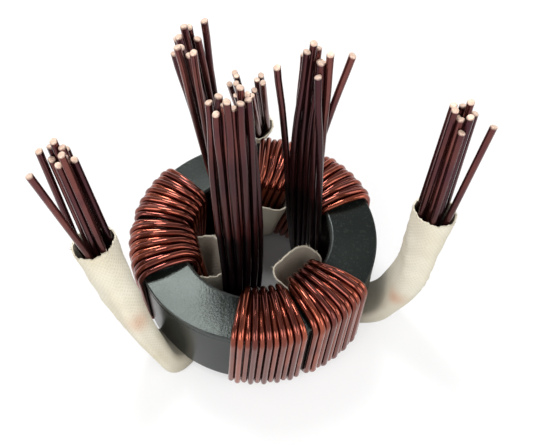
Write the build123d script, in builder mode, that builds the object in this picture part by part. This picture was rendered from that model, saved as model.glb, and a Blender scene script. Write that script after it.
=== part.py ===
"""Toroidal inductor with three windings, in millimetres.

Z is up, the axis of the ring is the Z axis and the plane it stands on is Z = 0.
Angles are counter-clockwise seen from above. The windings repeat every third of a turn.
A strand is followed from the end of its inner lead, down the bore, under the case, twice round
the ring, and out under the case in its sleeve to the end of its outer lead.
"""
import os
from math import cos, degrees, pi, radians, sin, sqrt, tan

from build123d import *

# Case and core
case_diameter = 80.0
bore_diameter = 49.0
case_height = 27.5
case_wall = 1.6
case_floor = 1.8
lid_thickness = 2.0
lid_spigot = 1.4
edge_bevel = 1.0
core_play = 0.3
spigot_play = 0.1

# Windings; the shares are of the wire's diameter
winding_count = 3
strand_count = 11
wire_diameter = 1.90022
strand_gap = 0.27933234
turn_gap = 1.56958172
bore_spacing_share = 0.657
layer_share = 0.955
stagger_share = 0.316
run_drop_share = 0.7
wire_play = 0.06

# Where a winding's strands pass, as angles from the middle of its first turn on the outer wall
first_angle = 20.0
lean_angle = 2.5
foot_angle = -23.4
pass_angle = 23.4
shift_angle = 2.0
sleeve_angle = 60.8
skew_angle = 9.0

# Sleeves; the shares of the strands in them are of the wire's diameter
sleeve_wall = 0.49975786
sleeve_play = 0.15011738
sleeve_spacing_share = 0.616
sleeve_layer_share = 0.947
exit_distance = 2.0
bore_mouth_drop = 5.0
bore_mouth_flare = 2.205
flare_middle_share = 0.45

# Leads; the foot's shares are of the wire's diameter
inner_lead_height = 72.0
outer_lead_height = 62.0
lead_distance = 10.0
tip_scatter = 2.6
foot_drop_share = 2.74
foot_spacing_share = 0.53
foot_layer_share = 1.053

# Inner leads: angle from the winding's first edge and depth in from the bore face as a share of the
# bore's radius, at the top of the case and at the tips; then the bunch of the tips, and each strand that
# stands off from it with its moves along and away, as shares of the wire's diameter
inner_lead_shares = (
    dict(
        base=(-9.2, 0.282), tip=(-5.9, 0.348), bunch=(1.0, 0.85, 270.0, 1.0),
        strays=((4, -3.0, -0.8), (10, 2.35, 2.1)),
    ),
    dict(base=(-6.4, 0.269), tip=(15.0, 0.04), bunch=(1.1, 1.0, 210.0), strays=((0, -0.4, 0.0),)),
    dict(base=(0.0, 0.265), tip=(-6.5, 0.375), bunch=(0.88, 0.95, 210.0), strays=((0, -0.3, 0.0),)),
)
# Outer leads: angle from the winding's first edge, distance out as a share of the lead's reach and
# height from the top of the case as a share of the lead's height, at the bend, at the sleeve's mouth
# and at the tips; then the bunch of the tips, the strand that stands off, and how far the sleeve's mouth
# in the bore bulges from its wall as a share of the bore's radius
outer_lead_shares = (
    dict(
        bend=(80.0, 1.02, -0.226), mouth=(71.6, 0.96, -0.016), tip=(75.9, -0.40, 0.532),
        bunch=(1.43, 1.2, 270.0, 1.0), strays=((10, 0.5, 0.0),), bulge=0.32,
    ),
    dict(
        bend=(78.0, 0.53, -0.065), mouth=(65.5, 0.99, 0.403), tip=(62.6, 1.16, 0.984),
        bunch=(0.95, 0.8, 270.0, 1.0), strays=((10, 0.3, 2.9),), bulge=0.41,
    ),
    dict(
        bend=(84.8, 0.87, -0.048), mouth=(89.6, 1.30, 0.419), tip=(92.9, 1.35, 1.016),
        bunch=(0.95, 0.8, 270.0, 1.0), strays=((0, 0.6, 2.5),), bulge=0.343,
    ),
)
# Bunches: strand spacing and layer step as shares of the wire's diameter, and the curl of the ribbon;
# a fourth number of 1 sinks it by its whole roll, so that its place is the middle of the roll
base_bunch_shares = (0.71, 0.95, 100.0)
middle_bunch_shares = (0.84, 1.00, 130.0)
bend_bunch_shares = (0.82, 0.947, 120.0)
mouth_bunch_shares = (1.18, 1.1, 270.0, 1.0)

# Derived sizes
up = Vector(0, 0, 1)
middle = (strand_count - 1) / 2
wire_radius = wire_diameter / 2
layer_step = layer_share * wire_diameter
stagger = stagger_share * wire_diameter
run_drop = run_drop_share * wire_diameter
sleeve_spacing = sleeve_spacing_share * wire_diameter
sleeve_layer = sleeve_layer_share * wire_diameter
inset = sleeve_wall + sleeve_play
skin = wire_radius + inset
case_bottom = 2 * skin + sleeve_layer + wire_play
case_top = case_bottom + case_height
wall_radius = case_diameter / 2 + wire_play + wire_radius
bore_radius = bore_diameter / 2 - wire_play - wire_radius
low = case_bottom - wire_play - wire_radius
high = case_top + wire_play + wire_radius
corner = (2 - sqrt(2)) * (wire_radius + wire_play) + edge_bevel
wall_step = degrees((wire_diameter + strand_gap) / wall_radius)
bore_step = degrees(bore_spacing_share * wire_diameter / bore_radius)
turn_angle = strand_count * wall_step + degrees(turn_gap / wall_radius)
bevel_share = tan(pi / 8)
flat_limit = 1e-9


def polar(radius, angle, height=0.0):
    """Point at a radius, an angle and a height."""
    return Vector(radius * cos(radians(angle)), radius * sin(radians(angle)), height)


def fan(step, radius, height, angle, out=0.0, rise=0.0):
    """Strands side by side round the axis; every second one is moved out and up by the given steps."""
    return [
        polar(radius + (n % 2) * out, angle + (n - middle) * step, height + (n % 2) * rise)
        for n in range(strand_count)
    ]


def ribbon(frame, spacing_share, layer_share, curl=0.0, sunk=0.0):
    """Strands in two layers across a frame, rolled up through the curl and sunk by a share of the roll."""
    origin, across, stack = frame
    spacing = spacing_share * wire_diameter
    places = []
    for n in range(strand_count):
        x, y = (n - middle) * spacing, (n % 2) * layer_share * wire_diameter
        if curl:
            roll = bunch_roll(spacing_share, curl)
            x, y = (roll - y) * sin(x / roll), (1 - sunk) * roll - (roll - y) * cos(x / roll)
        places.append(origin + across * x + stack * y)
    return places


def bunch_roll(spacing_share, curl):
    """Radius that a ribbon of strands is rolled to."""
    return (strand_count - 1) * spacing_share * wire_diameter / radians(curl)


def carry(path, across, side):
    """Frames along a bent line, kept square to it and mitred at its corners."""
    ways = [(b - a).normalized() for a, b in zip(path, path[1:])]
    across = (across - ways[0] * across.dot(ways[0])).normalized()
    stack = ways[0].cross(across)
    if stack.dot(side) < 0:
        stack = stack * -1
    frames = [(path[0], across, stack)]
    for place, before, after in zip(path[1:], ways, ways[1:] + ways[-1:]):
        mitre = (before + after).normalized()
        across = across - before * (across.dot(mitre) / before.dot(mitre))
        stack = stack - before * (stack.dot(mitre) / before.dot(mitre))
        frames.append((place, across, stack))
        across = (across - after * across.dot(after)).normalized()
        stack = (stack - after * stack.dot(after)).normalized()
    return frames


def set_off(places, frame, strays):
    """Move the strands that stand off from their bunch."""
    for number, along, away in strays:
        move = frame[1] * (along * wire_diameter) + frame[2] * (away * wire_diameter)
        places[number] = places[number] + move
    return places


def scatter(places, before, winding):
    """Cut the strands to slightly different lengths."""
    return [
        p + (p - q).normalized() * (tip_scatter * ((7 * n + 3 * winding) % 5 - 2) / 2)
        for n, (p, q) in enumerate(zip(places, before))
    ]


def section(frame, left, right, near, far, corners):
    """Points of a rounded outline: three to each corner and one half way along its long sides."""
    origin, across, stack = frame
    points = []
    places = ((right, far, 0), (left, far, 90), (left, near, 180), (right, near, 270))
    for (x, y, turned), size in zip(places, corners):
        cx = x - size if x == right else x + size
        cy = y - size if y == far else y + size
        for angle in (15, 45, 75):
            reach = size / cos(radians(15))
            a = radians(turned + angle)
            points.append(origin + across * (cx + reach * cos(a)) + stack * (cy + reach * sin(a)))
    points.insert(9, (points[8] + points[9]) * 0.5)
    points.insert(3, (points[2] + points[3]) * 0.5)
    return points


def facet(*points):
    """Flat face with straight edges."""
    return Face(Wire.make_polygon(points, close=True))


def skin_faces(rings):
    """Flat faces between rings of points; four corners that are not level are split to bulge outwards."""
    faces = []
    for here, there in zip(rings, rings[1:]):
        heart = sum(here + there, Vector()) / (2 * len(here))
        for n in range(len(here)):
            m = (n + 1) % len(here)
            a, b, c, d = here[n], here[m], there[m], there[n]
            twist = (b - a).cross(d - a).normalized().dot((c - a).normalized())
            if abs(twist) < flat_limit:
                faces.append(facet(a, b, c, d))
            elif ((a + c) / 2 - heart).length > ((b + d) / 2 - heart).length:
                faces.append(facet(a, b, c))
                faces.append(facet(a, c, d))
            else:
                faces.append(facet(a, b, d))
                faces.append(facet(b, c, d))
    return faces


def closed(faces):
    """Solid inside a closed skin of faces."""
    with BuildPart() as body:
        add(Solid(Shell(faces)))
    return body.part


def strand_rows(winding):
    """Places of all strands of a winding, one row for each station, and the frames of its sleeve."""
    start = first_angle + winding * 360 / winding_count
    centre = start + wall_step * strand_count / 2
    bore_face = bore_diameter / 2
    rows = []

    # inner lead: tips, half way, top of the case, foot
    lead = inner_lead_shares[winding]
    foot = polar(bore_radius - foot_drop_share * wire_diameter, centre + foot_angle, low)
    wall_foot = polar(wall_radius - corner, centre - lean_angle, low)
    base = polar(bore_face * (1 - lead["base"][1]), start + lead["base"][0], high)
    tip = polar(bore_face * (1 - lead["tip"][1]), start + lead["tip"][0], case_top + inner_lead_height)
    across = up.cross(wall_foot - foot)
    frames = carry([wall_foot, foot, base, (base + tip) * 0.5, tip], across, up * -1)
    half = ribbon(frames[3], *middle_bunch_shares)
    ends = set_off(ribbon(frames[4], *lead["bunch"]), frames[4], lead["strays"])
    rows.append(scatter(ends, half, winding))
    rows.append(half)
    rows.append(ribbon(frames[2], *base_bunch_shares))
    rows.append(ribbon(frames[1], foot_spacing_share, foot_layer_share))

    # two turns round the ring
    slope = stagger * bevel_share
    bore_slope = layer_step * bevel_share
    for turn in range(2):
        angle = centre + turn * turn_angle
        rows.append(fan(wall_step, wall_radius - corner, low, angle - lean_angle, slope, -run_drop))
        rows.append(fan(wall_step, wall_radius, low + corner, angle - lean_angle, stagger, -slope))
        rows.append(fan(wall_step, wall_radius, high - corner, angle, stagger, slope))
        rows.append(fan(wall_step, wall_radius - corner, high, angle, slope, stagger))
        rows.append(fan(bore_step, bore_radius + corner, high, angle, -bore_slope, layer_step))
        if turn == 0:
            rows.append(fan(bore_step, bore_radius, high - corner, angle, -layer_step, bore_slope))
            rows.append(fan(bore_step, bore_radius, low, centre + pass_angle, -layer_step, -layer_step))

    # sleeved end: down the bore, under the case and up outside
    flat_radius = sqrt((bore_radius - inset) ** 2 - (middle * sleeve_spacing) ** 2) - wire_play
    top_angle = angle + shift_angle
    low_angle = centre + sleeve_angle
    sleeve_low = low - inset
    tilt = polar(-1, top_angle) + up * bevel_share
    bore_top = (polar(flat_radius, top_angle, high - corner), polar(1, top_angle + 90), tilt)
    dip = polar(-1, low_angle) - up
    bore_low = (polar(flat_radius, low_angle, sleeve_low), polar(1, low_angle + 90), dip)
    lead = outer_lead_shares[winding]
    bend, mouth, tip = (
        polar(wall_radius + out * lead_distance, start + turned, case_top + rise * outer_lead_height)
        for turned, out, rise in (lead["bend"], lead["mouth"], lead["tip"])
    )
    edge = polar(wall_radius + exit_distance, low_angle + skew_angle, sleeve_low)
    across = up.cross(edge - bore_low[0])
    frames = carry([bore_low[0], edge, bend, mouth, tip], across, up * -1)
    ends = set_off(ribbon(frames[4], *lead["bunch"]), frames[4], lead["strays"])
    rows.append(ribbon(bore_top, sleeve_spacing_share, sleeve_layer_share))
    rows.append(ribbon(bore_low, sleeve_spacing_share, sleeve_layer_share))
    rows.append(ribbon(frames[1], sleeve_spacing_share, sleeve_layer_share))
    rows.append(ribbon(frames[2], *bend_bunch_shares))
    rows.append(ribbon(frames[3], *mouth_bunch_shares))
    rows.append(scatter(ends, rows[-1], winding))
    return rows, (bore_top, bore_low, frames[1], frames[2], frames[3])


def make_strand(points):
    """One six-sided strand along its line, as wide over corners as the wire."""
    corners = [(wire_radius * cos(n * pi / 3), wire_radius * sin(n * pi / 3)) for n in range(6)]
    across = (points[1] - points[0]).cross(Vector(1, 0, 0))
    rings = [
        [origin + across * x + stack * y for x, y in corners]
        for origin, across, stack in carry(points, across, up)
    ]
    return closed(skin_faces(rings) + [facet(*rings[0]), facet(*rings[-1])])


def down_bore(bore_top, bore_low, share):
    """Level frame a share of the way down the sleeved strands in the bore."""
    place = bore_top[0] + (bore_low[0] - bore_top[0]) * share
    out = Vector(place.X, place.Y, 0).normalized()
    return place, up.cross(out), out * -1


def make_sleeve(stations, bulge_share):
    """Woven tube round the strands: flared in the bore, flat under the case, round at its outer mouth."""
    bore_top, bore_low, edge, bend, mouth = stations
    lip_share = (bore_top[0].Z - case_top + bore_mouth_drop) / (bore_top[0].Z - bore_low[0].Z)
    half = middle * sleeve_spacing + skin
    far = sleeve_layer + skin
    lip_bulge = bulge_share * bore_diameter / 2
    lip_flare = bore_mouth_flare
    bend_roll = bunch_roll(bend_bunch_shares[0], bend_bunch_shares[2])
    bend_turn = radians(bend_bunch_shares[2] / 2)
    bend_half = bend_roll * sin(bend_turn) + skin
    bend_far = bend_roll * (1 - cos(bend_turn)) + skin + wire_radius
    mouth_half = bunch_roll(mouth_bunch_shares[0], mouth_bunch_shares[2]) + skin
    outlines = []
    for down, flared in ((lip_share, 1.0), ((1 + lip_share) / 2, flare_middle_share)):
        bulge = far + (lip_bulge - far) * flared
        round_off = skin + (lip_bulge / 2 - skin) * flared
        right = half + lip_flare * flared
        lip_corners = (round_off, round_off, skin, round_off)
        outlines.append((down_bore(bore_top, bore_low, down), -half, right, -skin, bulge, lip_corners))
    outlines.append((bore_low, -half, half, -skin, far, (skin,) * 4))
    outlines.append((edge, -half, half, -skin, far, (skin,) * 4))
    bend_corners = (skin + wire_radius, skin + wire_radius, 2 * skin, 2 * skin)
    outlines.append((bend, -bend_half, bend_half, -skin, bend_far, bend_corners))
    outlines.append((mouth, -mouth_half, mouth_half, -mouth_half, mouth_half, (mouth_half,) * 4))
    outside, inside = (
        [
            section(
                frame, left + wall, right - wall, near + wall, away - wall, [size - wall for size in corners]
            )
            for frame, left, right, near, away, corners in outlines
        ]
        for wall in (0.0, sleeve_wall)
    )
    rims = skin_faces([outside[0], inside[0]]) + skin_faces([outside[-1], inside[-1]])
    return closed(skin_faces(outside) + skin_faces(inside) + rims)


def ring(points):
    """Ring turned from an outline of (radius, height) points."""
    with BuildPart() as turned:
        with BuildSketch(Plane.XZ):
            with BuildLine():
                Polyline(*points, close=True)
            make_face()
        revolve(axis=Axis.Z)
    return turned.part


inner = bore_diameter / 2
outer = case_diameter / 2
seam = case_top - lid_thickness
floor = case_bottom + case_floor
pocket_out = outer - case_wall
pocket_in = inner + case_wall

parts = {}
parts["case_cup"] = ring([
    (inner + edge_bevel, case_bottom), (outer - edge_bevel, case_bottom), (outer, case_bottom + edge_bevel),
    (outer, seam), (pocket_out, seam), (pocket_out, floor), (pocket_in, floor), (pocket_in, seam),
    (inner, seam), (inner, case_bottom + edge_bevel),
])
parts["case_lid"] = ring([
    (inner, seam), (pocket_in + spigot_play, seam), (pocket_in + spigot_play, seam - lid_spigot),
    (pocket_out - spigot_play, seam - lid_spigot), (pocket_out - spigot_play, seam), (outer, seam),
    (outer, case_top - edge_bevel), (outer - edge_bevel, case_top), (inner + edge_bevel, case_top),
    (inner, case_top - edge_bevel),
])
parts["tape_core"] = ring([
    (pocket_in + core_play, floor), (pocket_out - core_play, floor),
    (pocket_out - core_play, seam - lid_spigot), (pocket_in + core_play, seam - lid_spigot),
])
for winding in range(winding_count):
    rows, stations = strand_rows(winding)
    for number in range(strand_count):
        parts[f"winding_{winding + 1}_strand_{number + 1:02d}"] = make_strand([row[number] for row in rows])
    parts[f"winding_{winding + 1}_sleeve"] = make_sleeve(stations, outer_lead_shares[winding]["bulge"])

os.makedirs("parts", exist_ok=True)
for name, part in parts.items():
    part.label = name
    export_step(part, f"parts/{name}.step")
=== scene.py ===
"""Looks for a toroidal inductor: three windings of stranded wire on a ring in a closed case.

Lengths are in millimetres and angles in degrees; a length becomes metres as it goes into a mesh.
The ring's axis is Z and the plane it stands on is Z = 0. Angles run counter-clockwise from above.
Every strand and sleeve is a numpy surface carried along the same line as its solid in the frame.
"""

import bpy
import numpy as np
from mathutils import Matrix, Vector


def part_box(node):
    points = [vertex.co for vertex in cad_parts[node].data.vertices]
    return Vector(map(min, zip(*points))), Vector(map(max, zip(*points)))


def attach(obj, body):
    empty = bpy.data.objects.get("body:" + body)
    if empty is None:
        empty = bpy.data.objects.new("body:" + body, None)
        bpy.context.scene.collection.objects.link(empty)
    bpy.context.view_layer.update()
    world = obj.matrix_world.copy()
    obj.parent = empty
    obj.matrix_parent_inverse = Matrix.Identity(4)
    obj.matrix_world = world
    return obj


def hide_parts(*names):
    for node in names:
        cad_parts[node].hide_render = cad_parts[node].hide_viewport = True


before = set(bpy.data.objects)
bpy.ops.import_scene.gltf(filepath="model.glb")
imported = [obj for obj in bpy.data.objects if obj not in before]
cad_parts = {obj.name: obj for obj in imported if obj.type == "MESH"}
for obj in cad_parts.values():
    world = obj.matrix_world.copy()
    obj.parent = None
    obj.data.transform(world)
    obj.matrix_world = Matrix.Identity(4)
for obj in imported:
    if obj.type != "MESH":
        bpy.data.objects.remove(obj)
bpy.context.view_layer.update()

# Case, read from the frame where its box gives it
METRE = 1000.0
case_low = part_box("case_cup")[0].z * METRE
case_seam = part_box("case_cup")[1].z * METRE
case_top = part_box("case_lid")[1].z * METRE
case_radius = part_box("case_cup")[1].x * METRE
bore_face = 24.5
edge_bevel = 1.0

# Windings; the shares are of the wire's diameter
winding_count = 3
strand_count = 11
wire = 1.90022
strand_gap = 0.147 * wire
turn_gap = 0.826 * wire
wire_play = 0.06
bore_spacing = 0.657 * wire
layer_step = 0.955 * wire
stagger = 0.25 * wire
run_drop = 0.7 * wire

# Where a winding's strands pass, as angles from the middle of its first turn on the outer wall
first_angle = 20.0
lean_angle = 2.5
foot_angle = -23.4
pass_angle = 23.4
shift_angle = 2.0
sleeve_angle = 60.8
skew_angle = 9.0

# Sleeves
sleeve_wall = 0.263 * wire
sleeve_play = 0.079 * wire
sleeve_spacing = 0.616 * wire
sleeve_layer = 0.947 * wire
exit_distance = 2.0
bore_mouth_flare = 0.09 * bore_face
flare_middle = 0.45

# Leads
inner_lead_height = 72.0
outer_lead_height = 62.0
lead_distance = 10.0
tip_scatter = 2.6
foot_drop = 2.74 * wire
foot_spacing = 0.53 * wire
foot_layer = 1.053 * wire

# Inner leads: angle from the winding's first edge and depth in the bore, at the case and at the tips
inner_leads = (
    dict(
        base=(-9.2, 0.282), tip=(-5.9, 0.348), bunch=(1.0, 0.85, 270.0, 1.0),
        strays=((4, -3.0, -0.8), (10, 2.35, 2.1)),
    ),
    dict(base=(-6.4, 0.269), tip=(15.0, 0.04), bunch=(1.1, 1.0, 210.0), strays=((0, -0.4, 0.0),)),
    dict(base=(0.0, 0.265), tip=(-6.5, 0.375), bunch=(0.88, 0.95, 210.0), strays=((0, -0.3, 0.0),)),
)
# Outer leads: angle from the winding's first edge, shares of the distance out and of the height up,
# the bulge of the sleeve's mouth in the bore as a share of the bore's radius, its drop below the lid, and
# the place where the copper has stained the sleeve
outer_leads = (
    dict(
        bend=(80.0, 1.02, -0.226), mouth=(71.6, 0.96, -0.016), tip=(75.9, -0.40, 0.532),
        bunch=(1.43, 1.2, 270.0, 1.0), strays=((10, 0.5, 0.0),), bulge=0.32, drop=5.0,
        stain=(-9.6, 46.9, 17.7),
    ),
    dict(
        bend=(78.0, 0.53, -0.065), mouth=(65.5, 0.99, 0.403), tip=(62.6, 1.16, 0.984),
        bunch=(0.95, 0.8, 270.0, 1.0), strays=((10, 0.3, 2.9),), bulge=0.41, drop=5.0,
        stain=(-34.4, -35.4, 34.6),
    ),
    dict(
        bend=(84.8, 0.87, -0.048), mouth=(89.6, 1.30, 0.419), tip=(92.9, 1.35, 1.016),
        bunch=(0.95, 0.8, 270.0, 1.0), strays=((0, 0.6, 2.5),), bulge=0.40, drop=2.5,
        stain=(45.3, -19.8, 24.3),
    ),
)
# Bunches: spacing and layer step as shares of the wire's diameter, curl, and how far sunk as a share
# of the roll
base_bunch = (0.71, 0.95, 100.0)
middle_bunch = (0.84, 1.00, 130.0)
bend_bunch = (0.82, 0.947, 120.0)
mouth_bunch = (1.18, 1.1, 270.0, 1.0)

# Derived sizes
up = np.array([0.0, 0.0, 1.0])
middle = (strand_count - 1) / 2
number = np.arange(strand_count)
second = number % 2
offset = number - middle
wire_radius = wire / 2
inset = sleeve_wall + sleeve_play
skin = wire_radius + inset
wall_radius = case_radius + wire_play + wire_radius
bore_radius = bore_face - wire_play - wire_radius
low = case_low - wire_play - wire_radius
high = case_top + wire_play + wire_radius
corner = (2 - np.sqrt(2)) * (wire_radius + wire_play) + edge_bevel
wall_step = np.degrees((wire + strand_gap) / wall_radius)
bore_step = np.degrees(bore_spacing / bore_radius)
turn_angle = strand_count * wall_step + np.degrees(turn_gap / wall_radius)
bevel = np.tan(np.pi / 8)

# All surfaces: the angle in radians from which an edge is shaded sharp
sharp_angle = 0.75

# Strand surfaces: the round wire, its bends, and what is left by the cutter
strand_radius = 1.01
strand_sides = 12
strand_corner_steps = 6
strand_run_steps = 3
run_share = 0.48
wire_bend = 3.0
lead_bend = 14.0
mouth_bend = 3.0
bow_bend = 6.0
burr_share = 0.8
burr_depth = 0.25
bare_length = 0.9
rim_bare = 0.6
cut_slope = 0.22
cut_turn = 2.4
seam_side = (0.3, 1.0, 0.2)

# Rows of a strand, counted from the inner tip; the last rows are counted back from the outer tip
case_row = 2
foot_row = 3
bow_rows = (8, 16)
bend_rows = 3
dark_fade = 0.5

# How the strands stand off: bow over the lid, shoulder, and unevenness from one strand to the next
top_bow = 1.2
shoulder_rise = 1.3
shoulder_in = 0.4
wobble = 0.15
wobble_phase = 2.3
sway = 0.14
sway_phase = 4.1
lead_wave = 0.35
wave_phase = 1.7
wave_turn = 2.9

# Mixed orders of the strands' lengths and tones: steps from one strand, and one winding, to the next
length_steps = 5
length_order = (7, 3)
tone_order = (5, 3)

# Standing leads are painted dark, as painted shade near the case, up to the first share of their height and
# clear from the second one on
shade_share = 0.33
clear_share = 0.68

# Sleeve surfaces; a station is one of the outlines that the sleeve is carried through
sleeve_sides = 96
sleeve_corner_steps = 12
sleeve_run_steps = 8
sleeve_bend = 9.0
bore_station = 3.0
bend_station = 4.0
free_from = 3.2
free_fade = 0.6
fold_reach = 0.35
fold_height = 0.22
fold_pitch = 3.4
fold_turn = 1.3
swell_height = 0.1
ragged = 0.22
stain_width = 3.2
stain_depth = 0.6
# painted shade on the sleeve: its depth in the bore and on the tube's inner wall
painted_bore_shade = 0.55
painted_inside_shade = 0.8
yarn_slant = 45.0
yarn_scale = 320.0

# Waves round a sleeve: how many, length along it or share of the height, and turn with the winding's number
swell_waves = ((3, 6.0, 1), (5, -4.0, 2))
ragged_waves = ((7, 1.0, 1), (17, 0.7, 2), (31, 0.5, 0))

# Loose ends of yarn at the sleeves' mouths
yarn_count = 40
yarn_stride = 37
yarn_shift = 5
yarn_steps = 5
yarn_sides = 4
yarn_length = 1.1
yarn_length_change = 0.6
yarn_sunk = 0.5
yarn_sag = 0.3
yarn_droop = 0.4
yarn_radius = 0.1
yarn_taper = 0.6
yarn_splay = 0.35
yarn_splay_change = 0.3
yarn_slew = 0.5
yarn_phases = (2.1, 3.7, 5.3)

# Case surfaces; a bend of the profile between the two angles is an edge that gets rubbed
ring_sides = 180
edge_steps = 5
flat_share = 0.3
least_turn = 0.05
most_turn = 0.5
seam_groove = 0.45
lid_edge = 0.4

# Camera, fitted to the photograph
view_height = np.radians(54.1)
view_roll = np.radians(0.7)
eye_distance = 233.0
aim_right = 4.5
aim_up = 3.2
focal_pixels = 700.0
image_width = 540.0
sensor = 36.0

# Studio; lengths are in metres
floor_half = 3.0
floor_white = 0.6
floor_colour = 0.4
white_from = 0.4
white_full = 1.0
cove_radius = 1.6
cove_curve = 0.5
cove_height = 0.9
cove_sides = 96
world_light = 0.45


def unit(v):
    """The vector divided by its length, along the last axis."""
    return v / np.linalg.norm(v, axis=-1, keepdims=True)


def polar(radius, angle, height=0.0):
    """Points (r cos a, r sin a, h)."""
    a = np.radians(angle)
    places = np.broadcast_arrays(radius * np.cos(a), radius * np.sin(a), height)
    return np.stack(places, axis=-1).astype(float)


def fan(step, radius, height, angle, out, rise):
    """Strands at equal angles round the axis; every second one is moved out and up by the given steps."""
    return polar(radius + second * out, angle + offset * step, height + second * rise)


def roll_of(spacing_share, curl):
    """Radius that a ribbon of strands is rolled to: its width over the angle it is rolled through."""
    return (strand_count - 1) * spacing_share * wire / np.radians(curl)


def ribbon(place, spacing_share, layer_share, curl=0.0, sunk=0.0):
    """Strands in two layers across a frame; with a curl, x goes round a circle and y goes in from it.

    The frame's place is on the ribbon, or sunk towards the circle's middle by a share of its radius.
    """
    origin, across, stack = place
    x = offset * spacing_share * wire
    y = second * layer_share * wire
    if curl:
        roll = roll_of(spacing_share, curl)
        x, y = (roll - y) * np.sin(x / roll), (1 - sunk) * roll - (roll - y) * np.cos(x / roll)
    return origin + x[:, None] * across + y[:, None] * stack


def carry(path, across, side):
    """Frames along a bent line: square to its runs, and cut by the halving plane at its corners."""
    path = np.array(path)
    ways = unit(np.diff(path, axis=0))
    across = unit(across - ways[0] * (across @ ways[0]))
    stack = np.cross(ways[0], across)
    stack = stack if stack @ side > 0 else -stack
    frames = [(path[0], across, stack)]
    for place, before, after in zip(path[1:], ways, np.concatenate([ways[1:], ways[-1:]])):
        mitre = unit(before + after)
        across = across - before * (across @ mitre) / (before @ mitre)
        stack = stack - before * (stack @ mitre) / (before @ mitre)
        frames.append((place, across, stack))
        across = unit(across - after * (across @ after))
        stack = unit(stack - after * (stack @ after))
    return frames


def set_off(places, place, strays):
    """Moves the strands that stand off from their bunch."""
    for which, sideways, away in strays:
        places[which] += place[1] * (sideways * wire) + place[2] * (away * wire)
    return places


def scatter(places, before, winding):
    """Cuts the strands to slightly different lengths: each tip slides along its own strand.

    The lengths go from minus to plus the scatter in even steps, which the strands take in a mixed order.
    """
    by_strand, by_winding = length_order
    step = (by_strand * number + by_winding * winding) % length_steps
    lengths = tip_scatter * (step - length_steps // 2) / (length_steps // 2)
    return places + unit(places - before) * lengths[:, None]


def bowed(first, last, bow):
    """The middles between two rows, moved off the case as a stiff wire stands off between its bends.

    Each strand's bow differs a little from the next one's, and each sways a little sideways.
    """
    unlike = 1 + wobble * np.sin(number * wobble_phase + first[0, 0])
    aside = sway * np.sin(number * sway_phase + first[0, 1])
    across = unit(np.cross(up, last - first))
    return (first + last) / 2 + bow * unlike[:, None] + across * aside[:, None]


def inner_lead_rows(winding, start, centre):
    """Rows of the standing inner lead: tips, half way, top of the case, and foot under the case."""
    lead = inner_leads[winding]
    foot = polar(bore_radius - foot_drop, centre + foot_angle, low)
    wall_foot = polar(wall_radius - corner, centre - lean_angle, low)
    base = polar(bore_face * (1 - lead["base"][1]), start + lead["base"][0], high)
    tip = polar(bore_face * (1 - lead["tip"][1]), start + lead["tip"][0], case_top + inner_lead_height)
    path = [wall_foot, foot, base, (base + tip) / 2, tip]
    frames = carry(path, np.cross(up, wall_foot - foot), -up)
    half = ribbon(frames[3], *middle_bunch)
    ends = set_off(ribbon(frames[4], *lead["bunch"]), frames[4], lead["strays"])
    return [
        scatter(ends, half, winding),
        half,
        ribbon(frames[2], *base_bunch),
        ribbon(frames[1], foot_spacing / wire, foot_layer / wire),
    ]


def turn_rows(angle):
    """Rows of a turn: from under the case, up the outer wall and over the lid to the edge of the bore."""
    slope = stagger * bevel
    low_angle = angle - lean_angle
    shoulder = (wall_radius - corner - shoulder_in, high + shoulder_rise)
    under = fan(wall_step, wall_radius - corner, low, low_angle, slope, -run_drop)
    wall_low = fan(wall_step, wall_radius, low + corner, low_angle, stagger, -slope)
    wall_high = fan(wall_step, wall_radius, high - corner + shoulder_in, angle, stagger, slope)
    top_out = fan(wall_step, *shoulder, angle, slope, stagger)
    top_in = fan(bore_step, bore_radius + corner, high, angle, -layer_step * bevel, layer_step)
    return [under, wall_low, wall_high, top_out, bowed(top_out, top_in, up * top_bow), top_in]


def bore_rows(top_angle, low_angle):
    """Rows down the bore between the two turns, with every second strand in the inner layer."""
    return [
        fan(bore_step, bore_radius, high - corner, top_angle, -layer_step, layer_step * bevel),
        fan(bore_step, bore_radius, low, low_angle, -layer_step, -layer_step),
    ]


def sleeved_rows(winding, start, top_angle, low_angle):
    """Rows of the sleeved end: down the bore, under the case and up outside; and the sleeve's frames."""
    lead = outer_leads[winding]
    flat_radius = np.sqrt((bore_radius - inset) ** 2 - (middle * sleeve_spacing) ** 2) - wire_play
    sleeve_low = low - inset
    bore_top = (
        polar(flat_radius, top_angle, high - corner),
        polar(1, top_angle + 90),
        polar(-1, top_angle) + up * bevel,
    )
    bore_low = (
        polar(flat_radius, low_angle, sleeve_low),
        polar(1, low_angle + 90),
        polar(-1, low_angle) - up,
    )
    edge = polar(wall_radius + exit_distance, low_angle + skew_angle, sleeve_low)
    bend, mouth, tip = (
        polar(wall_radius + out * lead_distance, start + round_by, case_top + rise * outer_lead_height)
        for round_by, out, rise in (lead["bend"], lead["mouth"], lead["tip"])
    )
    frames = carry([bore_low[0], edge, bend, mouth, tip], np.cross(up, edge - bore_low[0]), -up)
    flat = (sleeve_spacing / wire, sleeve_layer / wire)
    rows = [ribbon(place, *flat) for place in (bore_top, bore_low, frames[1])]
    rows += [ribbon(frames[2], *bend_bunch), ribbon(frames[3], *mouth_bunch)]
    ends = set_off(ribbon(frames[4], *lead["bunch"]), frames[4], lead["strays"])
    rows.append(scatter(ends, rows[-1], winding))
    return rows, (bore_top, bore_low, *frames[1:4])


def strand_rows(winding):
    """Places of a winding's strands from the inner tips to the outer ones, and the frames of its sleeve."""
    start = first_angle + winding * 360 / winding_count
    centre = start + wall_step * strand_count / 2
    second_turn = centre + turn_angle
    rows = inner_lead_rows(winding, start, centre)
    rows += turn_rows(centre) + bore_rows(centre, centre + pass_angle) + turn_rows(second_turn)
    ends, frames = sleeved_rows(winding, start, second_turn + shift_angle, centre + sleeve_angle)
    return np.array(rows + ends), frames


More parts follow.
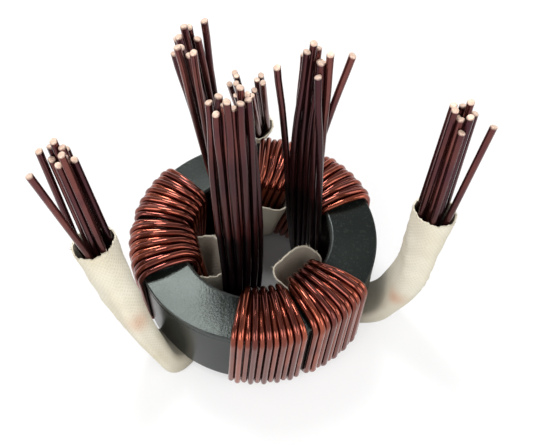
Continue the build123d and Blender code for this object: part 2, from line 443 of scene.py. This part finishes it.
def rounded(lines, reach, per_corner, per_run):
    """Bent lines with their corners rounded: each corner C becomes the curve (1-u)^2 A + 2u(1-u) C + u^2 B.

    A and B lie on the two runs, at the given reach from C or just under half way along the shorter run.
    lines is (stations, lines, 3); so is the result, with more stations.
    """
    corners = lines[1:-1]
    back, on = lines[:-2] - corners, lines[2:] - corners
    back_length = np.linalg.norm(back, axis=-1, keepdims=True)
    on_length = np.linalg.norm(on, axis=-1, keepdims=True)
    cut = np.minimum(np.reshape(reach, (-1, 1, 1)), run_share * np.minimum(back_length, on_length))
    first, last = corners + back / back_length * cut, corners + on / on_length * cut
    u = np.linspace(0, 1, per_corner)[:, None, None]
    arcs = (1 - u) ** 2 * first[:, None] + 2 * u * (1 - u) * corners[:, None] + u**2 * last[:, None]
    leave = np.concatenate([lines[:1], last])[:, None]
    reach_next = np.concatenate([first, lines[-1:]])[:, None]
    v = np.linspace(0, 1, per_run + 2)[1:-1, None, None]
    runs = leave + (reach_next - leave) * v
    body = np.concatenate([runs[:-1], arcs], axis=1).reshape(-1, *lines.shape[1:])
    return np.concatenate([lines[:1], body, runs[-1], lines[-1:]])


def row_numbers(count):
    """Which row each station of a rounded strand belongs to; along a run the number grows evenly.

    The two stations that are added at each end count as that end.
    """
    share = np.linspace(0, 1, strand_run_steps + 2)[1:-1]
    runs = np.arange(count - 1)[:, None] + share
    corners = np.repeat(np.arange(1, count - 1)[:, None], strand_corner_steps, axis=1)
    body = np.concatenate([runs[:-1], corners], axis=1).ravel()
    return np.pad(np.concatenate([[0], body, runs[-1], [count - 1]]), 2, mode="edge")


def with_ends(lines):
    """Lines with one more point close to each end, where the enamel stops."""
    first = lines[:1] + unit(lines[1:2] - lines[:1]) * bare_length
    last = lines[-1:] + unit(lines[-2:-1] - lines[-1:]) * bare_length
    return np.concatenate([lines[:1], first, lines[1:-1], last, lines[-1:]])


def along(path):
    """Unit directions of lines at their points: each run's direction averaged with the next."""
    runs = unit(np.diff(path, axis=0))
    return unit(np.concatenate([runs[:1], runs[:-1] + runs[1:], runs[-1:]]))


def mesh_piece(name, points, faces):
    """An object at the origin from points in millimetres and faces of point numbers."""
    mesh = bpy.data.meshes.new(name)
    mesh.from_pydata((points / METRE).tolist(), [], faces)
    mesh.polygons.foreach_set("use_smooth", np.full(len(mesh.polygons), True))
    mesh.update()
    mesh.set_sharp_from_angle(angle=sharp_angle)
    piece = bpy.data.objects.new(name, mesh)
    bpy.context.scene.collection.objects.link(piece)
    return piece


def grid_faces(rows, columns, wrap_rows=False):
    """Quads of a grid that is closed round its columns, and round its rows too where wrap_rows is set."""
    r = np.arange(rows if wrap_rows else rows - 1)[:, None]
    c = np.arange(columns)[None, :]
    r2, c2 = (r + 1) % rows, (c + 1) % columns
    corners = [r * columns + c, r * columns + c2, r2 * columns + c2, r2 * columns + c]
    return np.stack(corners, axis=-1).reshape(-1, 4)


def grid_map(piece, rows, columns, across, length):
    """A map over a grid's quads: across goes once round its columns and length along its rows, in metres."""
    r = np.arange(rows)[:, None]
    c = np.arange(columns)[None, :]
    corners = [(c, r), (c + 1, r), (c + 1, r + 1), (c, r + 1)]
    places = [np.stack(np.broadcast_arrays(u * across / columns, length[v]), axis=-1) for u, v in corners]
    quads = np.stack(places, axis=2)[:, :, ::-1]
    every = np.zeros((len(piece.data.loops), 2), dtype=np.float32)
    every[: quads.size // 2] = quads.reshape(-1, 2)
    piece.data.uv_layers.new(name="weave").data.foreach_set("uv", every.ravel())


def set_value(piece, name, values):
    """Keeps one number for each point of a piece, for its material to read."""
    values = np.ascontiguousarray(values, dtype=np.float32).ravel()
    piece.data.attributes.new(name, "FLOAT", "POINT").data.foreach_set("value", values)


def strand_grid(path, round_count):
    """Tubes along lines: circles of the wire's radius, square to the lines and carried without twist.

    path is (stations, lines, 3); the result is (lines, stations, round_count, 3), with a shrunk ring
    added before the first station and after the last one, as the burr that is left by the cutter.
    """
    ways = along(path)
    side = unit(np.cross(ways[0], seam_side))
    sides = []
    for way in ways:
        side = unit(side - way * np.sum(side * way, axis=-1, keepdims=True))
        sides.append(side)
    sides = np.array(sides)
    others = np.cross(ways, sides)
    size = np.full(len(path), strand_radius)
    path = np.concatenate([path[:1], path, path[-1:]])
    ways = np.concatenate([ways[:1], ways, ways[-1:]])
    sides = np.concatenate([sides[:1], sides, sides[-1:]])
    others = np.concatenate([others[:1], others, others[-1:]])
    size = np.concatenate([[burr_share * strand_radius], size, [burr_share * strand_radius]])
    path[1] = path[1] + ways[1] * burr_depth
    path[-2] = path[-2] - ways[-2] * burr_depth
    turn = np.linspace(0, 2 * np.pi, round_count, endpoint=False)[:, None]
    grid = (
        path[:, :, None]
        + size[:, None, None, None] * (np.cos(turn) * sides[:, :, None] + np.sin(turn) * others[:, :, None])
    )
    cut_at = np.arange(path.shape[1])[:, None, None] * cut_turn
    askew = cut_slope * strand_radius * (np.cos(turn - cut_at) - 1)
    grid[:2] -= ways[0][:, None] * askew
    grid[-2:] += ways[-1][:, None] * askew
    return grid.transpose(1, 0, 2, 3)


def lead_waves(row, winding):
    """Sideways waves of the standing inner leads: sines of the share of the way up.

    They are nought at the case and at the tip.
    """
    share = np.clip(1 - row / case_row, 0, 1)[:, None]
    wave = np.sin(2 * np.pi * share + number * wave_phase + winding)
    swing = lead_wave * share * np.sin(np.pi * share) * wave
    return np.stack([swing, swing * np.cos(number * wave_turn), 0 * swing], axis=-1)


def make_strands(winding, rows, material):
    """The eleven strands of a winding, each in place of its solid."""
    reach = np.full(len(rows) - 2, wire_bend)
    reach[[row - 1 for row in bow_rows]] = bow_bend
    # half way up the inner lead, and the top of the case
    reach[[0, 1]] = lead_bend
    # low in the bore, the case's edge and the bend outside, as the sleeve bends there
    reach[[-4, -3, -2]] = sleeve_bend
    # the sleeve's outer mouth
    reach[-1] = mouth_bend
    path = with_ends(rounded(rows, reach, strand_corner_steps, strand_run_steps))
    path = path + lead_waves(row_numbers(len(rows))[1:-1], winding)
    grids = strand_grid(path, strand_sides)
    stations = grids.shape[1]
    faces = grid_faces(stations, strand_sides).tolist()
    faces.append(list(range(strand_sides))[::-1])
    faces.append(list(range((stations - 1) * strand_sides, stations * strand_sides)))
    bare = np.zeros(stations)
    bare[[0, -1]] = 1.0
    bare[[1, -2]] = rim_bare
    row = row_numbers(len(rows))
    inner_dark = np.clip(foot_row + dark_fade - row, 0, 1)
    outer_dark = np.clip(row - len(rows) + bend_rows + 1, 0, 1)
    dark = np.maximum(inner_dark, outer_dark)
    # painted shade on the standing leads: the share of the way from the case up to the tip
    rise = np.maximum(1 - row / case_row, (row - len(rows) + bend_rows) / case_row)
    rise = np.clip((rise - shade_share) / (clear_share - shade_share), 0, 1)
    by_strand, by_winding = tone_order
    for n, grid in enumerate(grids):
        name = f"winding_{winding + 1}_strand_{n + 1:02d}"
        piece = mesh_piece("wire_" + name, grid.reshape(-1, 3), faces)
        set_value(piece, "bare", np.repeat(bare, strand_sides))
        set_value(piece, "lead", np.repeat(dark, strand_sides))
        set_value(piece, "rise", np.repeat(rise, strand_sides))
        tone = ((by_strand * n + by_winding * winding) % strand_count) / strand_count
        set_value(piece, "tone", np.full(stations * strand_sides, tone))
        piece.data.materials.append(material)
        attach(piece, "root")
        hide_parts(name)


def rounded_outline(place, left, right, near, far, corners, count):
    """A box outline with rounded corners in a frame, its points evenly spread by angle on each corner.

    Corner q has its points at centre + size (cos a, sin a), with a from 90 q to 90 q + 90.
    """
    origin, across, stack = place
    a = np.radians(np.linspace(0, 90, count // 4))
    points = []
    for q, size in enumerate(corners):
        x = (right - size) if q in (0, 3) else (left + size)
        y = (far - size) if q in (0, 1) else (near + size)
        b = a + q * np.pi / 2
        points.append(np.stack([x + size * np.cos(b), y + size * np.sin(b)], axis=-1))
    flat = np.concatenate(points)
    return even_round(origin + flat[:, :1] * across + flat[:, 1:] * stack, count)


def run_along(line):
    """Length along a line from its start to each of its points: the sum of the runs so far."""
    return np.concatenate([[0.0], np.cumsum(np.linalg.norm(np.diff(line, axis=0), axis=-1))])


def even_round(ring, count):
    """A closed line of points spread evenly by length."""
    closed = np.concatenate([ring, ring[:1]])
    run = run_along(closed)
    at = np.linspace(0, run[-1], count, endpoint=False)
    return np.stack([np.interp(at, run, closed[:, k]) for k in range(3)], axis=-1)


def down_bore(bore_top, bore_low, share):
    """Level frame a share of the way down the sleeved strands in the bore."""
    place = bore_top[0] + (bore_low[0] - bore_top[0]) * share
    out = unit(place * [1, 1, 0])
    return place, np.cross(up, out), -out


def sleeve_outlines(stations, bulge_share, drop):
    """A sleeve's outlines from the bore to the outer mouth: frame, sides and corner sizes of each."""
    bore_top, bore_low, edge, bend, mouth = stations
    lip_share = (bore_top[0][2] - case_top + drop) / (bore_top[0][2] - bore_low[0][2])
    lip_bulge = bulge_share * bore_face
    half = middle * sleeve_spacing + skin
    far = sleeve_layer + skin
    bend_roll = roll_of(bend_bunch[0], bend_bunch[2])
    bend_turn = np.radians(bend_bunch[2] / 2)
    bend_half = bend_roll * np.sin(bend_turn) + skin
    bend_far = bend_roll * (1 - np.cos(bend_turn)) + skin + wire_radius
    mouth_half = roll_of(mouth_bunch[0], mouth_bunch[2]) + skin
    outlines = []
    for down, flared in ((lip_share, 1.0), ((1 + lip_share) / 2, flare_middle)):
        bulge = far + (lip_bulge - far) * flared
        size = skin + (lip_bulge / 2 - skin) * flared
        right = half + bore_mouth_flare * flared
        place = down_bore(bore_top, bore_low, down)
        outlines.append((place, -half, right, -skin, bulge, (size, size, skin, size)))
    outlines.append((bore_low, -half, half, -skin, far, (skin,) * 4))
    outlines.append((edge, -half, half, -skin, far, (skin,) * 4))
    bend_corners = (skin + wire_radius, skin + wire_radius, 2 * skin, 2 * skin)
    outlines.append((bend, -bend_half, bend_half, -skin, bend_far, bend_corners))
    outlines.append((mouth, -mouth_half, mouth_half, -mouth_half, mouth_half, (mouth_half,) * 4))
    return outlines


def sleeve_station(count):
    """How many stations lie before each ring of a sleeve, with parts of one between them."""
    return np.arange(count) / (sleeve_corner_steps + sleeve_run_steps)


def crumple(wall, line, length, winding):
    """How far each point of a sleeve's wall stands off: out from its line by waves round it and along it.

    The waves are sums of sines of the angle round and the length along; they start past the case's edge,
    are highest at the bend, and at both mouths the edge runs up and down along the sleeve.
    """
    out = unit(wall - line[:, None])
    a = np.linspace(0, 2 * np.pi, sleeve_sides, endpoint=False)[None, :]
    s = length[:, None]
    station = sleeve_station(len(wall))[:, None]
    free = np.clip((station - free_from) / free_fade, 0, 1)
    fold = np.exp(-(((station - bend_station) / fold_reach) ** 2))
    swells = sum(np.sin(waves * a + s / run + turn * winding) for waves, run, turn in swell_waves)
    swell = swell_height * (len(swell_waves) + swells)
    skew = fold_turn * np.sin(2 * a + winding)
    folds = fold_height * fold * (1 + np.sin(s * 2 * np.pi / fold_pitch + skew))
    edge = sum(share * np.sin(waves * a + turn * winding) for waves, share, turn in ragged_waves)
    move = out * (free * (swell + folds))[:, :, None]
    ways = along(line[:, None])
    move[-1] += ways[-1] * (edge * ragged)[0, :, None]
    move[0] += ways[0] * (edge * ragged)[0, :, None]
    return move


def yarn_ends(rim, way, winding):
    """Loose ends of yarn round a mouth: thin tapering tubes along base + u long d + u^2 sag b.

    rim is the closed line in the middle of the wall; the result is (ends, steps, sides, 3).
    """
    which = (np.arange(yarn_count) * yarn_stride + yarn_shift * winding) % len(rim)
    base = rim[which] - way * yarn_sunk
    out = unit(rim[which] - rim.mean(axis=0))
    side = np.cross(way, out)
    n = np.arange(yarn_count)
    lean = np.stack([np.sin(yarn_phases[0] * n + winding), np.cos(yarn_phases[1] * n + winding)], axis=-1)
    d = unit(way + out * (yarn_splay + yarn_splay_change * lean[:, :1]) + side * yarn_slew * lean[:, 1:])
    long = yarn_length * (1 + yarn_length_change * np.sin(yarn_phases[2] * n))[:, None]
    u = np.linspace(0, 1, yarn_steps)[:, None, None]
    line = base + u * long * d + u**2 * yarn_sag * (side * lean[:, :1] - up * yarn_droop)
    other = np.cross(d, side)
    turn = np.linspace(0, 2 * np.pi, yarn_sides, endpoint=False)[:, None]
    thick = yarn_radius * (1 - yarn_taper * u)[:, :, None]
    level = unit(np.cross(other, d))
    tubes = line[:, :, None] + thick * (np.cos(turn) * level[:, None] + np.sin(turn) * other[:, None])
    return tubes.transpose(1, 0, 2, 3)


def yarn_faces(first, count):
    """Quads of loose ends of yarn, closed at both ends; first is the number of their first point."""
    near = np.arange(yarn_sides)[::-1]
    far = np.arange(yarn_sides) + (yarn_steps - 1) * yarn_sides
    tube = np.concatenate([grid_faces(yarn_steps, yarn_sides), [near, far]])
    starts = first + np.arange(count)[:, None, None] * yarn_steps * yarn_sides
    return (starts + tube).reshape(-1, 4).tolist()


def sleeve_walls(stations, lead):
    """The outer and the inner wall of a sleeve: its outlines carried along the strands, corners rounded."""
    outlines = sleeve_outlines(stations, lead["bulge"], lead["drop"])
    reach = np.full(len(outlines) - 2, sleeve_bend)
    walls = []
    for wall in (0.0, sleeve_wall):
        rings = np.array([
            rounded_outline(place, left + wall, right - wall, near + wall, far - wall,
                            [size - wall for size in corners], sleeve_sides)
            for place, left, right, near, far, corners in outlines
        ])
        walls.append(rounded(rings, reach, sleeve_corner_steps, sleeve_run_steps))
    return walls


def sleeve_painted_shade(count):
    """Painted shade on the points of a sleeve's outer wall, deepest in the bore, and then of its inner wall.
    """
    outside = painted_bore_shade * np.clip(bore_station - sleeve_station(count), 0, 1)
    inside = np.full(count, painted_inside_shade)
    inside[[0, -1]] = outside[[0, -1]]
    return np.repeat(np.concatenate([outside, inside[::-1]]), sleeve_sides)


def make_sleeve(winding, stations, material):
    """The woven tube of a winding, two crumpled walls with loose ends of yarn, in place of its solid."""
    lead = outer_leads[winding]
    outer, inner = sleeve_walls(stations, lead)
    line = outer.mean(axis=1)
    length = run_along(line)
    ways = along(line[:, None])[:, 0]
    move = crumple(outer, line, length, winding)
    outer, inner = outer + move, inner + move
    grid = np.concatenate([outer, inner[::-1]])
    rims = (outer + inner) / 2
    yarns = np.concatenate([yarn_ends(rims[0], -ways[0], winding), yarn_ends(rims[-1], ways[-1], winding)])
    name = f"winding_{winding + 1}_sleeve"
    points = np.concatenate([grid.reshape(-1, 3), yarns.reshape(-1, 3)])
    faces = grid_faces(len(grid), sleeve_sides, wrap_rows=True)[:, ::-1].tolist()
    faces += yarn_faces(len(grid) * sleeve_sides, len(yarns))
    piece = mesh_piece("woven_" + name, points, faces)
    around = np.linalg.norm(np.diff(outer[-1], axis=0), axis=-1).sum() / METRE
    there_and_back = np.concatenate([length, length[::-1], length[:1]])
    grid_map(piece, len(grid), sleeve_sides, around, there_and_back / METRE)
    from_spot = np.linalg.norm(points - np.array(lead["stain"]), axis=-1)
    set_value(piece, "stain", stain_depth * np.exp(-((from_spot / stain_width) ** 2)))
    # painted shade: deepest on the sleeve in the bore and inside the tube, half as deep on the loose yarn
    # ends
    yarn_painted_shade = np.full(yarns.size // 3, painted_bore_shade / 2)
    set_value(piece, "soil_and_shade", np.concatenate([sleeve_painted_shade(len(outer)), yarn_painted_shade]))
    piece.data.materials.append(material)
    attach(piece, "root")
    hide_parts(name)


def turned(name, profile, material, node):
    """A ring turned from a closed profile of (radius, height) points: x = r cos a, y = r sin a."""
    profile = np.array(profile)
    a = np.linspace(0, 2 * np.pi, ring_sides, endpoint=False)[:, None]
    points = np.stack([profile[:, 0] * np.cos(a), profile[:, 0] * np.sin(a), profile[:, 1] + 0 * a], axis=-1)
    faces = grid_faces(ring_sides, len(profile), wrap_rows=True)
    piece = mesh_piece(name, points.reshape(-1, 3), faces.tolist())
    runs = unit(np.roll(profile, -1, axis=0) - profile)
    bend = np.sum(runs * np.roll(runs, 1, axis=0), axis=-1)
    rim = (bend < np.cos(least_turn)) & (bend > np.cos(most_turn))
    set_value(piece, "edge", np.tile(rim * 1.0, ring_sides))
    piece.data.materials.append(material)
    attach(piece, "root")
    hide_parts(node)


def quarter(radius, height, size, first):
    """Points of a quarter circle about (radius, height), from the given angle on.

    One more point lies on each flat beside it, so that the flat is shaded flat.
    """
    a = np.radians(first + np.linspace(0, 90, edge_steps))
    curve = np.stack([radius + size * np.cos(a), height + size * np.sin(a)], axis=-1)
    way = np.stack([-np.sin(a), np.cos(a)], axis=-1) * size * flat_share
    return np.concatenate([curve[:1] - way[:1], curve, curve[-1:] + way[-1:]])


def principled(name, colour, roughness, metallic=0.0):
    """A material with one shader, and that shader."""
    material = bpy.data.materials.new(name)
    material.use_nodes = True
    shader = material.node_tree.nodes["Principled BSDF"]
    shader.inputs["Base Color"].default_value = (*colour, 1)
    shader.inputs["Roughness"].default_value = roughness
    shader.inputs["Metallic"].default_value = metallic
    return material, shader


def feed(tree, socket, value):
    """Links a socket to another one, or sets it to a colour or a number."""
    if isinstance(value, bpy.types.NodeSocket):
        tree.links.new(value, socket)
    elif isinstance(value, tuple):
        socket.default_value = (*value, 1)
    else:
        socket.default_value = value


def mix_colour(tree, factor, first, last):
    """A mix of two colours; each is a colour or a socket."""
    node = tree.nodes.new("ShaderNodeMix")
    node.data_type = "RGBA"
    tree.links.new(factor, node.inputs["Factor"])
    feed(tree, node.inputs[6], first)
    feed(tree, node.inputs[7], last)
    return node.outputs[2]


def value_of(tree, name):
    """The socket that reads one of a piece's own numbers."""
    node = tree.nodes.new("ShaderNodeAttribute")
    node.attribute_name = name
    return node.outputs["Fac"]


def noise(tree, scale, detail=3.0):
    """Cloudy values between 0 and 1; the scale is in clouds to the metre."""
    place = tree.nodes.new("ShaderNodeTexCoord")
    node = tree.nodes.new("ShaderNodeTexNoise")
    node.inputs["Scale"].default_value = scale
    node.inputs["Detail"].default_value = detail
    tree.links.new(place.outputs["Object"], node.inputs["Vector"])
    return node.outputs["Fac"]


def spread(tree, value, low_in, high_in, low_out, high_out):
    """A value moved from one range to another and held inside it."""
    node = tree.nodes.new("ShaderNodeMapRange")
    node.inputs["From Min"].default_value = low_in
    node.inputs["From Max"].default_value = high_in
    node.inputs["To Min"].default_value = low_out
    node.inputs["To Max"].default_value = high_out
    tree.links.new(value, node.inputs["Value"])
    return node.outputs["Result"]


def mix_value(tree, factor, first, last):
    """A mix of two numbers; each is a number or a socket."""
    node = tree.nodes.new("ShaderNodeMix")
    tree.links.new(factor, node.inputs["Factor"])
    feed(tree, node.inputs[2], first)
    feed(tree, node.inputs[3], last)
    return node.outputs[0]


def joined(tree, operation, first, last):
    """Two values put together by one step of arithmetic; each is a number or a socket."""
    node = tree.nodes.new("ShaderNodeMath")
    node.operation = operation
    feed(tree, node.inputs[0], first)
    feed(tree, node.inputs[1], last)
    return node.outputs[0]


def relief(tree, shader, height, strength, depth):
    """Fine relief from a height between 0 and 1; the depth is in metres."""
    node = tree.nodes.new("ShaderNodeBump")
    node.inputs["Strength"].default_value = strength
    node.inputs["Distance"].default_value = depth
    tree.links.new(height, node.inputs["Height"])
    tree.links.new(node.outputs["Normal"], shader.inputs["Normal"])


def enamelled_copper():
    """Copper under brown enamel: redder and glossier on the ring, dark on the leads with painted shade near
    the case, bare at the cuts.
    """
    material, shader = principled("enamelled copper", (0.3, 0.07, 0.025), 0.25, 0.8)
    tree = material.node_tree
    tone, lead, bare = (value_of(tree, name) for name in ("tone", "lead", "bare"))
    cloud = noise(tree, 140.0)
    wound = mix_colour(tree, tone, (0.31, 0.066, 0.030), (0.12, 0.021, 0.013))
    wound = mix_colour(tree, spread(tree, cloud, 0.45, 0.7, 0.0, 0.7), wound, (0.10, 0.016, 0.012))
    drawn = mix_colour(tree, tone, (0.064, 0.016, 0.019), (0.195, 0.057, 0.045))
    drawn = mix_colour(tree, spread(tree, cloud, 0.4, 0.7, 0.0, 0.6), drawn, (0.060, 0.016, 0.030))
    # painted shade: the standing leads turn near-black towards the case
    drawn = mix_colour(tree, value_of(tree, "rise"), (0.014, 0.006, 0.008), drawn)
    colour = mix_colour(tree, lead, wound, drawn)
    cut = mix_colour(tree, noise(tree, 1500.0), (0.62, 0.36, 0.25), (0.95, 0.80, 0.66))
    tree.links.new(mix_colour(tree, bare, colour, cut), shader.inputs["Base Color"])
    gloss = mix_value(tree, lead, 0.11, 0.22)
    tree.links.new(mix_value(tree, bare, gloss, 0.55), shader.inputs["Roughness"])
    metal = mix_value(tree, lead, 0.9, 0.75)
    tree.links.new(mix_value(tree, bare, metal, 0.3), shader.inputs["Metallic"])
    tree.links.new(mix_value(tree, lead, 0.45, 0.06), shader.inputs["Coat Weight"])
    shader.inputs["Coat Roughness"].default_value = 0.12
    relief(tree, shader, noise(tree, 300.0, 2.0), 0.06, 0.0004)
    return material


def woven_glass():
    """Cream glass yarn braided in two slanting directions, with painted shade in the valleys between the
    yarns, in the bore and inside the tube, and a copper stain.
    """
    material, shader = principled("woven glass", (0.70, 0.65, 0.50), 0.85)
    tree = material.node_tree
    place = tree.nodes.new("ShaderNodeUVMap")
    place.uv_map = "weave"
    yarns = []
    for slant in (-1, 1):
        turn = tree.nodes.new("ShaderNodeMapping")
        turn.inputs["Rotation"].default_value = (0, 0, np.radians(slant * yarn_slant))
        tree.links.new(place.outputs["UV"], turn.inputs["Vector"])
        wave = tree.nodes.new("ShaderNodeTexWave")
        wave.inputs["Scale"].default_value = yarn_scale
        wave.inputs["Distortion"].default_value = 1.2
        wave.inputs["Detail Scale"].default_value = 1.5
        tree.links.new(turn.outputs["Vector"], wave.inputs["Vector"])
        yarns.append(wave.outputs["Fac"])
    weave = joined(tree, "MAXIMUM", *yarns)
    # cloudy soil in the yarn's own clean colour
    soil_and_shade = noise(tree, 90.0, 4.0)
    clean = mix_colour(tree, spread(tree, soil_and_shade, 0.35, 0.75, 0.0, 1.0), (0.95, 0.90, 0.75), (0.86, 0.78, 0.60))
    # painted shade in the valleys between the yarns
    colour = mix_colour(tree, spread(tree, weave, 0.3, 1.0, 0.16, 0.0), clean, (0.52, 0.46, 0.33))
    colour = mix_colour(tree, value_of(tree, "stain"), colour, (0.72, 0.36, 0.20))
    # painted shade on the sleeve in the bore and inside the tube
    colour = mix_colour(tree, value_of(tree, "soil_and_shade"), colour, (0.20, 0.165, 0.135))
    tree.links.new(colour, shader.inputs["Base Color"])
    shader.inputs["Specular IOR Level"].default_value = 0.25
    relief(tree, shader, weave, 0.3, 0.0003)
    return material


def moulded_case():
    """Near-black satin plastic with a fine moulded grain, pale dust and a rubbed edge."""
    material, shader = principled("moulded plastic", (0.014, 0.016, 0.015), 0.4)
    tree = material.node_tree
    grain = noise(tree, 1400.0, 2.0)
    cloud = noise(tree, 60.0, 4.0)
    dust = spread(tree, grain, 0.57, 0.70, 0.0, 0.3)
    base = mix_colour(tree, cloud, (0.005, 0.006, 0.0055), (0.012, 0.015, 0.013))
    base = mix_colour(tree, dust, base, (0.055, 0.065, 0.058))
    rubbed = joined(tree, "MULTIPLY", value_of(tree, "edge"), spread(tree, cloud, 0.35, 0.65, 0.1, 0.8))
    tree.links.new(mix_colour(tree, rubbed, base, (0.075, 0.080, 0.077)), shader.inputs["Base Color"])
    tree.links.new(spread(tree, cloud, 0.3, 0.7, 0.18, 0.26), shader.inputs["Roughness"])
    shader.inputs["Specular IOR Level"].default_value = 0.26
    shader.inputs["Specular Tint"].default_value = (0.88, 1.0, 0.94, 1.0)
    relief(tree, shader, grain, 0.2, 0.0002)
    return material


def pale_floor():
    """A pale floor that is lit white towards the eye, but not where the ring stands over it."""
    material, shader = principled("pale floor", (floor_colour,) * 3, 0.9)
    tree = material.node_tree
    shader.inputs["Specular IOR Level"].default_value = 0.0
    rays = tree.nodes.new("ShaderNodeLightPath")
    seen = joined(tree, "MAXIMUM", rays.outputs["Is Camera Ray"], rays.outputs["Is Glossy Ray"])
    seen = joined(tree, "MAXIMUM", seen, rays.outputs["Is Transmission Ray"])
    place = tree.nodes.new("ShaderNodeTexCoord")
    from_axis = tree.nodes.new("ShaderNodeVectorMath")
    from_axis.operation = "LENGTH"
    tree.links.new(place.outputs["Object"], from_axis.inputs[0])
    away = from_axis.outputs["Value"]
    clear = spread(tree, away, bore_face / METRE, case_radius / METRE, 0.0, floor_white)
    distant = spread(tree, away, white_from, white_full, 0.0, 1.0 - floor_white)
    clear = joined(tree, "ADD", clear, distant)
    white = tree.nodes.new("ShaderNodeEmission")
    tree.links.new(joined(tree, "MULTIPLY", seen, clear), white.inputs["Strength"])
    both = tree.nodes.new("ShaderNodeAddShader")
    tree.links.new(shader.outputs["BSDF"], both.inputs[0])
    tree.links.new(white.outputs["Emission"], both.inputs[1])
    tree.links.new(both.outputs["Shader"], tree.nodes["Material Output"].inputs["Surface"])
    return material


def soft_lamp(name, place, aim, size, power):
    """A square lamp at a place, facing the aim."""
    data = bpy.data.lights.new(name, "AREA")
    data.size = size
    data.energy = power
    lamp = bpy.data.objects.new(name, data)
    lamp.location = place
    lamp.rotation_euler = (Vector(aim) - Vector(place)).to_track_quat("-Z", "Y").to_euler()
    bpy.context.scene.collection.objects.link(lamp)


# The part
copper = enamelled_copper()
sleeving = woven_glass()
plastic = moulded_case()
for winding in range(winding_count):
    rows, stations = strand_rows(winding)
    make_strands(winding, rows, copper)
    make_sleeve(winding, stations, sleeving)

cup_profile = np.concatenate([
    [[case_radius, case_seam - seam_groove], [case_radius - seam_groove, case_seam]],
    [[bore_face + seam_groove, case_seam], [bore_face, case_seam - seam_groove]],
    quarter(bore_face + edge_bevel, case_low + edge_bevel, edge_bevel, 180),
    quarter(case_radius - edge_bevel, case_low + edge_bevel, edge_bevel, 270),
])
lid_profile = np.concatenate([
    [[bore_face, case_seam + seam_groove], [bore_face + seam_groove, case_seam]],
    [[case_radius - seam_groove, case_seam], [case_radius, case_seam + seam_groove]],
    quarter(case_radius - lid_edge, case_top - lid_edge, lid_edge, 0),
    quarter(bore_face + edge_bevel, case_top - edge_bevel, edge_bevel, 90),
])
turned("moulded_case_cup", cup_profile, plastic, "case_cup")
turned("moulded_case_lid", lid_profile[::-1], plastic, "case_lid")

# Camera at the photograph's angle
camera_data = bpy.data.cameras.new("camera")
camera_data.sensor_width = sensor
camera_data.lens = focal_pixels / image_width * sensor
camera_data.clip_start = 0.01
camera = bpy.data.objects.new("camera", camera_data)
bpy.context.scene.collection.objects.link(camera)
view_forward = np.array([0.0, np.cos(view_height), -np.sin(view_height)])
level_right = np.array([1.0, 0.0, 0.0])
level_up = np.cross(level_right, view_forward)
view_right = np.cos(view_roll) * level_right + np.sin(view_roll) * level_up
view_up = np.cross(view_right, view_forward)
target = up * case_top + aim_right * view_right + aim_up * view_up
eye = (target - eye_distance * view_forward) / METRE
turn_matrix = Matrix((view_right, view_up, -view_forward)).transposed().to_4x4()
camera.matrix_world = Matrix.Translation(Vector(eye)) @ turn_matrix
bpy.context.scene.camera = camera

# Lamps, in metres and watts
soft_lamp("key", (-0.40, -0.55, 0.55), (0, 0, 0.03), 0.6, 4.5)
soft_lamp("fill", (0.65, -0.35, 0.45), (0, 0, 0.03), 0.6, 3.0)
soft_lamp("back", (-0.12, 0.30, 0.62), (-0.03, -0.02, 0.03), 0.2, 2.4)

# Floor and a round cove behind it
floor_corners = np.array([[-1, -1, 0], [1, -1, 0], [1, 1, 0], [-1, 1, 0]])
floor = mesh_piece("floor", floor_corners * floor_half * METRE, [[0, 1, 2, 3]])
cove_bend = quarter(cove_radius - cove_curve, cove_curve, cove_curve, 270)
cove_line = np.concatenate([cove_bend[1:], [[cove_radius, cove_height]]])
cove_turn = np.linspace(0, 2 * np.pi, cove_sides, endpoint=False)
cove_grid = np.stack([
    np.outer(cove_line[:, 0], np.cos(cove_turn)),
    np.outer(cove_line[:, 0], np.sin(cove_turn)),
    np.outer(cove_line[:, 1], np.ones(cove_sides)),
], axis=-1)
cove_faces = grid_faces(len(cove_line), cove_sides)[:, ::-1].tolist()
cove = mesh_piece("cove", cove_grid.reshape(-1, 3) * METRE, cove_faces)
floor_material = pale_floor()
for stage in (floor, cove):
    stage.data.materials.append(floor_material)

world = bpy.data.worlds.new("studio")
world.use_nodes = True
world.node_tree.nodes["Background"].inputs["Color"].default_value = (1, 1, 1, 1)
world.node_tree.nodes["Background"].inputs["Strength"].default_value = world_light
bpy.context.scene.world = world
bpy.context.scene.view_settings.view_transform = "Standard"
